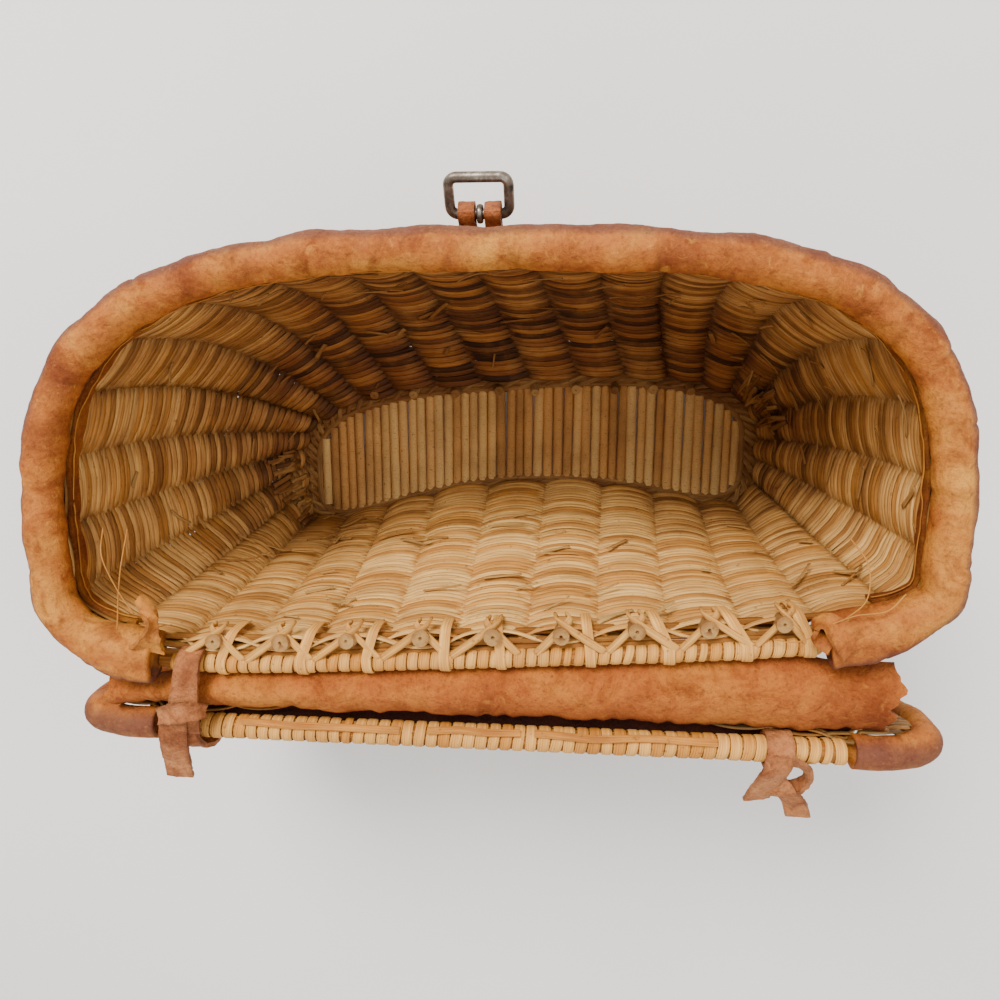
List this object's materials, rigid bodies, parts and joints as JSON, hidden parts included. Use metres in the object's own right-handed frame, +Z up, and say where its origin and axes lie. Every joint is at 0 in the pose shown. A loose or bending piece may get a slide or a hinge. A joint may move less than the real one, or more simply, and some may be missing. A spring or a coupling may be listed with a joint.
{
  "type": "fishing creel",
  "caption": "Worn wicker fishing creel with a leather-bound mouth, the lid hanging open behind on leather thongs, and a small wire buckle at the front",
  "frame": {"origin": "on the flat base of the creel, in the plane of the surface that it stands on", "axes": "+X runs along the creel to the end with the wrapped thong tail, -Y is the front with the buckle, +Y the hinge side, +Z up"},
  "size_m": [0.3834, 0.2685, 0.1898],
  "materials": {
    "woven_cane": "dry aged cane splints, straw yellow to dark brown",
    "cane_sticks": "bare round sticks with pale pith ends, dusty",
    "wrapped_cane": "flat peeled cane, slightly shiny",
    "roll_leather": "rolled tan leather, worn nap, lilac-brown outer side",
    "flap_suede": "rough orange-brown suede with torn edges",
    "strap_leather": "creased brown suede thongs",
    "buckle_metal": "grey-brown aged nickel-coloured wire, lightly scratched"
  },
  "bodies": {
    "creel": {"basket_body": "woven_cane", "base_slats": "cane_sticks", "rim_leather": "roll_leather", "back_rim_rod": "wrapped_cane", "back_stake_1": "cane_sticks", "back_stake_2": "cane_sticks", "back_stake_3": "cane_sticks", "back_stake_4": "cane_sticks", "back_stake_5": "cane_sticks", "back_stake_6": "cane_sticks", "back_stake_7": "cane_sticks", "back_stake_8": "cane_sticks", "back_stake_9": "cane_sticks", "lid_weave": "woven_cane", "lid_rim_leather": "roll_leather", "lid_back_rod": "wrapped_cane", "hinge_flap": "flap_suede", "tie_left": "strap_leather", "tie_right": "strap_leather", "buckle_chape": "strap_leather"},
    "buckle_frame": {"buckle_frame": "buckle_metal"},
    "buckle_prong": {"buckle_prong": "buckle_metal"}
  },
  "joints": [
    {"name": "buckle_frame_hinge", "type": "hinge", "parent": "creel", "child": "buckle_frame", "pos_m": [-0.0008, -0.1026, 0.165], "axis": [-1, 0, 0], "range_deg": [-85, 40]},
    {"name": "buckle_prong_hinge", "type": "hinge", "parent": "creel", "child": "buckle_prong", "pos_m": [-0.0008, -0.1026, 0.165], "axis": [-1, 0, 0], "range_deg": [-4, 88]}
  ]
}
